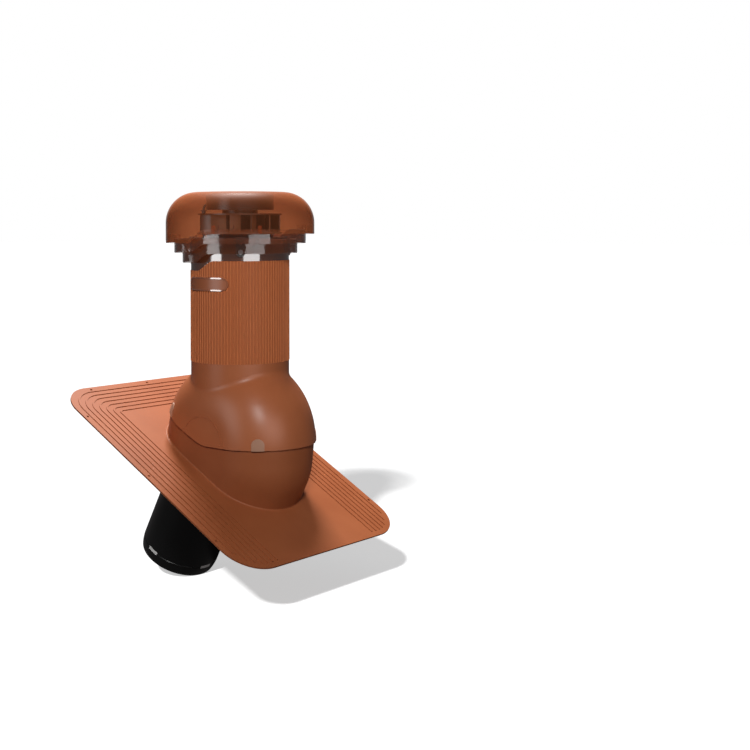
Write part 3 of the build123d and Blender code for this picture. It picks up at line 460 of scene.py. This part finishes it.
tube_shader = tube_tree.nodes["Principled BSDF"]
cloudy_rough = tube_shader.inputs["Roughness"].links[0].from_socket
cloudy_tone = tube_shader.inputs["Base Color"].links[0].from_socket
tube_tree.links.new(tube_place.outputs["Object"], tube_parts.inputs[0])
tube_tree.links.new(tube_parts.outputs["X"], flute_line.inputs["Value"])
tube_tree.links.new(tube_parts.outputs["Z"], above_line.inputs[0])
tube_tree.links.new(flute_line.outputs["Result"], above_line.inputs[1])
tube_tree.links.new(above_line.outputs["Value"], pick_rough.inputs["Value"])
tube_tree.links.new(cloudy_rough, pick_rough.inputs["To Min"])
tube_tree.links.new(pick_rough.outputs["Result"], tube_shader.inputs["Roughness"])
tube_tree.links.new(above_line.outputs["Value"], pick_tone.inputs["Factor"])
tube_tree.links.new(groove.outputs["Mask"], painted_groove_mix.inputs["Factor"])
tube_tree.links.new(cloudy_tone, painted_groove_mix.inputs["B"])
tube_tree.links.new(painted_groove_mix.outputs["Result"], pick_tone.inputs["A"])
tube_tree.links.new(pick_tone.outputs["Result"], tube_shader.inputs["Base Color"])
tube_tree.links.new(above_line.outputs["Value"], tube_shader.inputs["Coat Weight"])
print("polished above", round(flute_line_low, 4), "to", round(flute_line_high, 4))

# %% [markdown]
# The four tabs at the hood's rim are painted paler than the hood, as a painted reflection of the soft boxes
# in their glossy faces. A tab is an upright shape with a round top, so a mask can be worked out from the
# distance to the tab's middle line and to its round top. The hood is the same on both sides, so the two
# sides share each mask. The mask is off near the tube's axis, which keeps it to the side of the hood that
# the tab stands on.

# %% Tab mask
tab_half_width = 0.01125
tab_least_reach = 0.1
tab_shape, tab_in, tab_out = make_group(
    "tab_shape",
    [
        ("Towards", "NodeSocketVector", (1, 0, 0)),
        ("Across", "NodeSocketVector", (0, 1, 0)),
        ("Round top", "NodeSocketFloat", 0.1),
    ],
    [("Mask", "NodeSocketFloat")],
)


def tab_node(kind, operation, second=None):
    """A maths node in the tab group, with its second number if that is fixed."""
    made = tab_shape.nodes.new(kind)
    made.operation = operation
    if second is not None:
        made.inputs[1].default_value = second
    return made


tab_place = tab_shape.nodes.new("ShaderNodeTexCoord")
both_sides = tab_node("ShaderNodeVectorMath", "ABSOLUTE")
from_tree = tab_shape.nodes.new("ShaderNodeSeparateXYZ")
from_sides = tab_shape.nodes.new("ShaderNodeSeparateXYZ")
one_side = tab_shape.nodes.new("ShaderNodeCombineXYZ")
reach_along = tab_node("ShaderNodeVectorMath", "DOT_PRODUCT")
offset_across = tab_node("ShaderNodeVectorMath", "DOT_PRODUCT")
over_top = tab_node("ShaderNodeMath", "SUBTRACT")
only_over = tab_node("ShaderNodeMath", "MAXIMUM", 0.0)
tab_offset = tab_shape.nodes.new("ShaderNodeCombineXYZ")
tab_distance = tab_node("ShaderNodeVectorMath", "LENGTH")
within = tab_node("ShaderNodeMath", "LESS_THAN", tab_half_width)
outside = tab_node("ShaderNodeMath", "GREATER_THAN", tab_least_reach)
both = tab_node("ShaderNodeMath", "MULTIPLY")
join = tab_shape.links.new
join(tab_place.outputs["Object"], both_sides.inputs[0])
join(tab_place.outputs["Object"], from_tree.inputs[0])
join(both_sides.outputs["Vector"], from_sides.inputs[0])
join(from_tree.outputs["X"], one_side.inputs["X"])
join(from_sides.outputs["Y"], one_side.inputs["Y"])
join(one_side.outputs["Vector"], reach_along.inputs[0])
join(tab_in.outputs["Towards"], reach_along.inputs[1])
join(one_side.outputs["Vector"], offset_across.inputs[0])
join(tab_in.outputs["Across"], offset_across.inputs[1])
join(from_tree.outputs["Z"], over_top.inputs[0])
join(tab_in.outputs["Round top"], over_top.inputs[1])
join(over_top.outputs["Value"], only_over.inputs[0])
join(offset_across.outputs["Value"], tab_offset.inputs["X"])
join(only_over.outputs["Value"], tab_offset.inputs["Y"])
join(tab_offset.outputs["Vector"], tab_distance.inputs[0])
join(tab_distance.outputs["Value"], within.inputs[0])
join(reach_along.outputs["Value"], outside.inputs[0])
join(within.outputs["Value"], both.inputs[0])
join(outside.outputs["Value"], both.inputs[1])
join(both.outputs["Value"], tab_out.inputs["Mask"])
print("group:", tab_shape.name)

# %% [markdown]
# The hood's finish uses the mask twice, for the front pair and for the back pair, and takes a paler colour,
# the tabs' painted reflection, where either mask is on. The directions are turned from the down-slope side,
# as the tabs stand on the hood.

# %% Painted reflection on the hood's tabs
front_tabs, back_tabs = (33.0, 0.00725), (140.0, 0.05412)
# painted reflection: the tabs are painted paler, standing in for the soft boxes' reflection in their glossy
# faces
tab_painted_reflection = from_screen(176, 132, 108)
hood_tree = hood_clay.node_tree
hood_shader = hood_tree.nodes["Principled BSDF"]
any_tab = hood_tree.nodes.new("ShaderNodeMath")
any_tab.operation = "MAXIMUM"
for number, (degrees_round, round_top) in enumerate((front_tabs, back_tabs)):
    turn = radians(degrees_round)
    tab = use_group(
        hood_tree,
        tab_shape,
        {
            "Towards": (cos(turn), sin(turn), 0),
            "Across": (-sin(turn), cos(turn), 0),
            "Round top": pivot_level + round_top,
        },
    )
    hood_tree.links.new(tab.outputs["Mask"], any_tab.inputs[number])
tab_reflection_mix = colour_mix(hood_tree, second=tab_painted_reflection)
hood_tone = hood_shader.inputs["Base Color"].links[0].from_socket
hood_tree.links.new(any_tab.outputs["Value"], tab_reflection_mix.inputs["Factor"])
hood_tree.links.new(hood_tone, tab_reflection_mix.inputs["A"])
hood_tree.links.new(tab_reflection_mix.outputs["Result"], hood_shader.inputs["Base Color"])
print("tabs masked at", front_tabs[0], "and", back_tabs[0], "degrees on both sides")

# %% [markdown]
# A badge plate is satin in its sunk field and polished on its raised border. The border stands farther from
# the tube's axis, so the mask of distances tells them apart.

# %% Badge border
border_shine = 0.12
badge_tree = badge_clay.node_tree
badge_shader = badge_tree.nodes["Principled BSDF"]
border = use_group(badge_tree, crest, {"From": 0.0927, "To": 0.0929})
border_rough = badge_tree.nodes.new("ShaderNodeMapRange")
border_rough.inputs["To Max"].default_value = border_shine
field_rough = badge_shader.inputs["Roughness"].links[0].from_socket
badge_tree.links.new(border.outputs["Mask"], border_rough.inputs["Value"])
badge_tree.links.new(field_rough, border_rough.inputs["To Min"])
badge_tree.links.new(border_rough.outputs["Result"], badge_shader.inputs["Roughness"])
badge_tree.links.new(border.outputs["Mask"], badge_shader.inputs["Coat Weight"])
print("border is polished to", border_shine)

# %% [markdown]
# Each loaded piece is one part of the real vent in one material, so a list of names under each finish is
# enough. Every material slot that a piece has takes the finish.

# %% Dress the loaded pieces
dress = {
    plate_clay: ["flashing_plate"],
    hood_clay: ["hood"],
    tube_clay: ["outer_tube"],
    badge_clay: ["badge_left", "badge_right"],
    duct_black: ["lower_duct", "duct_collar"],
    latch_white: ["duct_latches"],
    seal_rubber: ["collar_seal", "duct_seal", "motor_pad"],
    pipe_grey: ["inner_pipe", "coupling_sleeve"],
    foam_grey: ["insulation"],
    fan_brown: ["fan_flange", "flange_hooks", "inlet_ring", "impeller", "gland_body", "gland_nut",
                "conduit", "conduit_plug", "conduit_clip"],
    motor_brown: ["motor_housing", "motor_cover", "fan_hub", "bearing_seat"],
    steel: ["collar_screws", "hook_screws", "clip_screws", "cap_screws", "fan_shaft", "lower_bearing",
            "upper_bearing"],
    core_iron: ["stator", "motor_rotor"],
    lead_black: ["fan_lead", "lead_grommet"],
}
for material, names in dress.items():
    for name in names:
        piece = nodes[name]
        if not piece.material_slots:
            piece.data.materials.append(material)
        for place in piece.material_slots:
            place.material = material
print("dressed:", sum(len(names) for names in dress.values()))

# %% [markdown]
# ## The rain cap and its two rings
#
# The cap is an oval lid that drops at the back and steps up at the front, and two louvre rings repeat that
# step below it. A thin shell like this is easy to build from rows of points: each row follows the oval, and
# the rows climb the wall and roll over the shoulder. The picture shows the fan through the shell, so its
# outer skin is partly clear while its inner skin is solid.

# %% Oval rows
turns = 288
halvings = 30


def oval_point(half_length, half_width, turn, inset=0.0):
    """A point of an oval drawn in by an inset along its normal, in millimetres."""
    x, y = half_length * cos(turn), half_width * sin(turn)
    nx, ny = half_width * cos(turn), half_length * sin(turn)
    size = sqrt(nx * nx + ny * ny)
    return x - nx / size * inset, y - ny / size * inset


def stepped(x, high, low, step):
    """The height of a stepped line at a place along the slope, in millimetres."""
    start, end = step
    part = (start - x) / (start - end)
    if part <= 0:
        return high
    if part >= 1:
        return low
    below, above = 0.0, 1.0
    for _ in range(halvings):
        u = (below + above) / 2
        if 1.5 * u * (1 - u) + u**3 < part:
            below = u
        else:
            above = u
    return high + (low - high) * (3 * u * u - 2 * u**3)


def shell(name, rows, skins):
    """Joins rows of points into a skin. skins gives the material number of each strip between rows."""
    points, faces, materials = [], [], []
    for row in rows:
        points += [(x * mm, y * mm, z * mm + pivot_level) for x, y, z in row]
    for r in range(len(rows) - 1):
        for i in range(turns):
            j = (i + 1) % turns
            faces.append((r * turns + i, r * turns + j, (r + 1) * turns + j, (r + 1) * turns + i))
            materials.append(skins[r])
    mesh = bpy.data.meshes.new(name)
    mesh.from_pydata(points, [], faces)
    mesh.polygons.foreach_set("material_index", materials)
    mesh.polygons.foreach_set("use_smooth", [True] * len(faces))
    return mesh


print("turns round the oval:", turns)

# %% [markdown]
# The outer skin is clearest where it faces the eye and solid where it curves away, as a thin clear wall
# looks. The rings' skin is darker, glossier and less clear than the cap's.

# %% Clear skin finish
slant_blend = 0.3
clear_clay = finish("clear_clay", clay_dark, clay_light, (0.4, 0.46), 0.02, gloss=0.04)
clear_shiny = finish("clear_shiny", (112, 63, 39), (122, 71, 45), (0.08, 0.12), 0.005, coat=0.6, gloss=0.8)
for clear, least_solid, most_solid in ((clear_clay, 0.15, 1.0), (clear_shiny, 0.26, 1.0)):
    clear_tree = clear.node_tree
    slant = clear_tree.nodes.new("ShaderNodeLayerWeight")
    slant.inputs["Blend"].default_value = slant_blend
    solid_share = clear_tree.nodes.new("ShaderNodeMapRange")
    solid_share.inputs["To Min"].default_value = least_solid
    solid_share.inputs["To Max"].default_value = most_solid
    clear_tree.links.new(slant.outputs["Facing"], solid_share.inputs["Value"])
    clear_tree.links.new(solid_share.outputs["Result"], clear_tree.nodes["Principled BSDF"].inputs["Alpha"])
    print(clear.name, "is solid by", least_solid, "to", most_solid)

# %% [markdown]
# The inner skin is solid when it is seen from inside, and isn't there when it is seen from outside, so that
# the near wall lets the fan show while the far wall closes the view. It also lets the lamps' light in, or
# else the fan would stand in the dark. The cap's inner skin is painted much paler than the clay, as painted
# light that makes up for the lamps' light that the clear outer skin keeps out.

# %% Inner skin finish
# painted light: the cap's inner skin is painted much paler than the clay, making up for light the clear
# outer skin keeps out
inner_clay = finish("inner_clay", (226, 138, 90), (232, 146, 96), (0.3, 0.38), 0.02)
inner_dark = finish("inner_dark", (128, 70, 43), (138, 78, 49), (0.3, 0.38), 0.02)
for inner in (inner_clay, inner_dark):
    inner_tree = inner.node_tree
    seen_from = inner_tree.nodes.new("ShaderNodeNewGeometry")
    ray_kind = inner_tree.nodes.new("ShaderNodeLightPath")
    hidden = inner_tree.nodes.new("ShaderNodeMath")
    hidden.operation = "MAXIMUM"
    shown = inner_tree.nodes.new("ShaderNodeMath")
    shown.operation = "SUBTRACT"
    shown.inputs[0].default_value = 1.0
    inner_tree.links.new(seen_from.outputs["Backfacing"], hidden.inputs[0])
    inner_tree.links.new(ray_kind.outputs["Is Shadow Ray"], hidden.inputs[1])
    inner_tree.links.new(hidden.outputs["Value"], shown.inputs[1])
    inner_tree.links.new(shown.outputs["Value"], inner_tree.nodes["Principled BSDF"].inputs["Alpha"])
print("inner skins show from inside only")

# %% [markdown]
# The cap's rows start at the middle of the inner skin, go down the inner wall, cross the rim, climb the
# outer wall, roll over the shoulder and close on top. Two rows lie close together at each crisp edge, so
# that smooth shading keeps the edge narrow instead of smearing light over the whole wall.

# %% Rain cap
cap_length, cap_width, cap_top, cap_shoulder, cap_wall = 143.7, 132.0, 459.0, 57.0, 2.5
cap_high, cap_low, cap_step = 381.4, 364.4, (37.0, -17.0)
edge_round = 0.4
shoulder_rows = 22
wall_rows = 6
wall_crowding = 1.5
crown_parts = (0.985, 0.8, 0.6, 0.4, 0.2, 0.02)


def oval_row(length, width, inset, level):
    """A row of points round an oval. level is a height, or a function of the place along the slope."""
    row = []
    for i in range(turns):
        x, y = oval_point(length, width, 2 * pi * i / turns, inset)
        row.append((x, y, level(x) if callable(level) else level))
    return row


def cap_rim(x):
    """The height of the cap's rim at a place along the slope."""
    return stepped(x, cap_high, cap_low, cap_step)


def cap_rows(shrink):
    """The rows of one skin of the cap, from the rim to the middle of the top."""
    shoulder = cap_shoulder - shrink
    crown = cap_top - shrink
    bend = crown - shoulder
    rows = []
    for k in range(wall_rows):
        part = (k / wall_rows) ** wall_crowding

        def height(x, part=part):
            low = cap_rim(x) + edge_round
            return low + (bend - low) * part

        rows.append(oval_row(cap_length, cap_width, shrink, height))
    for k in range(shoulder_rows + 1):
        turn = pi / 2 * k / shoulder_rows
        inset = shrink + shoulder * (1 - cos(turn))
        rows.append(oval_row(cap_length, cap_width, inset, bend + shoulder * sin(turn)))
    last_row = oval_row(cap_length, cap_width, shrink + shoulder, crown)
    for part in crown_parts:
        rows.append([(x * part, y * part, z) for x, y, z in last_row])
    return rows


outer_rows = cap_rows(0.0)
inner_rows = cap_rows(cap_wall)
rim_outer = oval_row(cap_length, cap_width, edge_round, cap_rim)
rim_inner = oval_row(cap_length, cap_width, cap_wall - edge_round, cap_rim)
cap_all = inner_rows[::-1] + [rim_inner, rim_outer] + outer_rows
cap_skins = [1] * (len(inner_rows) + 1) + [0] * len(outer_rows)
cap_mesh = shell("rain_cap_skin", cap_all, cap_skins)
for skin in (clear_clay, inner_clay):
    cap_mesh.materials.append(skin)
print("rain cap rows:", len(cap_all))

# %% [markdown]
# ## Webs and rings
#
# The rings hang inside each other on thin upright webs, which show from below and dimly through the clear
# skin. Each web is a small slab from one oval's wall towards the next. It is written as eight corners and
# six faces, which is quicker than cutting a block to fit.

# %% Web helpers
web_angles = (30.0, 68.0, 112.0, 150.0, 210.0, 248.0, 292.0, 330.0)
web_thickness, web_height, web_from_rim, web_short_of_wall = 2.5, 14.0, 1.5, 0.5
web_faces = ((0, 1, 3, 2), (4, 6, 7, 5), (0, 4, 5, 1), (2, 3, 7, 6), (0, 2, 6, 4), (1, 5, 7, 3))
clear_skin = 0
sharp_over = radians(35.0)


def oval_reach(length, width, angle):
    """How far an oval reaches from its middle at an angle."""
    return 1 / sqrt((cos(angle) / length) ** 2 + (sin(angle) / width) ** 2)


def add_webs(mesh, outer, inner, high, low):
    """Adds the webs from an outer oval's wall to the oval inside it."""
    points = [tuple(v.co) for v in mesh.vertices]
    faces = [tuple(p.vertices) for p in mesh.polygons]
    numbers = [p.material_index for p in mesh.polygons]
    for degrees_round in web_angles:
        angle = radians(degrees_round)
        level = (high if cos(angle) > 0 else low) + web_from_rim
        near = oval_reach(*inner, angle)
        reach = oval_reach(*outer, angle) - web_short_of_wall
        start = len(points)
        for distance in (near, reach):
            for side in (-1, 1):
                for lift in (0, web_height):
                    x = distance * cos(angle) - side * web_thickness / 2 * sin(angle)
                    y = distance * sin(angle) + side * web_thickness / 2 * cos(angle)
                    points.append((x * mm, y * mm, (level + lift) * mm + pivot_level))
        for corners in web_faces:
            faces.append(tuple(start + corner for corner in corners))
            numbers.append(clear_skin)
    mesh.clear_geometry()
    mesh.from_pydata(points, [], faces)
    mesh.polygons.foreach_set("material_index", numbers)


def shade(mesh):
    """Smooth shading that keeps sharp edges crisp."""
    mesh.polygons.foreach_set("use_smooth", [True] * len(mesh.polygons))
    mesh.set_sharp_from_angle(angle=sharp_over)
    mesh.update()


print("webs on each piece:", len(web_angles))

# %% [markdown]
# The cap gets its webs, its shading and its place in the model. It rides on the head, which turns on the
# ball, and it stands in for the measured cap, because a plain solid has one finish and this shell needs
# two.

# %% Rain cap in place
upper_ring_oval, lower_ring_oval, tube_round = (126.6, 117.5), (108.8, 104.8), (91.1, 91.1)
add_webs(cap_mesh, (cap_length - cap_wall, cap_width - cap_wall), upper_ring_oval, cap_high, cap_low)
shade(cap_mesh)
rain_cap = link(cap_mesh, "rain_cap_skin")
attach(rain_cap, "head")
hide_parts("rain_cap")
print("rain cap faces:", len(cap_mesh.polygons))

# %% [markdown]
# A louvre ring is a band of plastic that keeps rain out and lets air through. It is built from the same
# kind of rows as the cap: down the inside, under the rim, up the outside and over the top, back to the
# first row.

# %% Louvre rings
ring_wall, ring_height = 2.5, 26.0
ring_parts = (0.0, 0.03, 0.5, 0.97, 1.0)


def louvre_ring(name, oval, high, low, step, inner, node):
    """A stepped band with rounded edges, and its webs."""

    def rim(x):
        return stepped(x, high, low, step)

    def lifted(part):
        def height(x):
            return rim(x) + edge_round + (ring_height - 2 * edge_round) * part

        return height

    def top(x):
        return rim(x) + ring_height

    inside = [oval_row(*oval, ring_wall, lifted(part)) for part in ring_parts[::-1]]
    under = [oval_row(*oval, ring_wall - edge_round, rim), oval_row(*oval, edge_round, rim)]
    outside = [oval_row(*oval, 0.0, lifted(part)) for part in ring_parts]
    over = [oval_row(*oval, edge_round, top), oval_row(*oval, ring_wall - edge_round, top)]
    rows = inside + under + outside + over + inside[:1]
    skins = [1] * (len(inside) + 1) + [0] * (len(outside) + 1) + [1, 1]
    mesh = shell(name, rows, skins)
    for skin in (clear_shiny, inner_dark):
        mesh.materials.append(skin)
    add_webs(mesh, (oval[0] - ring_wall, oval[1] - ring_wall), inner, high, low)
    shade(mesh)
    made = link(mesh, name)
    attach(made, "head")
    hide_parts(node)
    print(name, "faces:", len(mesh.polygons))


upper_line = 363.9, 346.2, (29.0, -21.0)
lower_line = 345.5, 327.8, (25.0, -23.0)
louvre_ring("upper_ring_skin", upper_ring_oval, *upper_line, lower_ring_oval, "upper_louvre_ring")
louvre_ring("lower_ring_skin", lower_ring_oval, *lower_line, tube_round, "lower_louvre_ring")

# %% End
print("end of the scene")
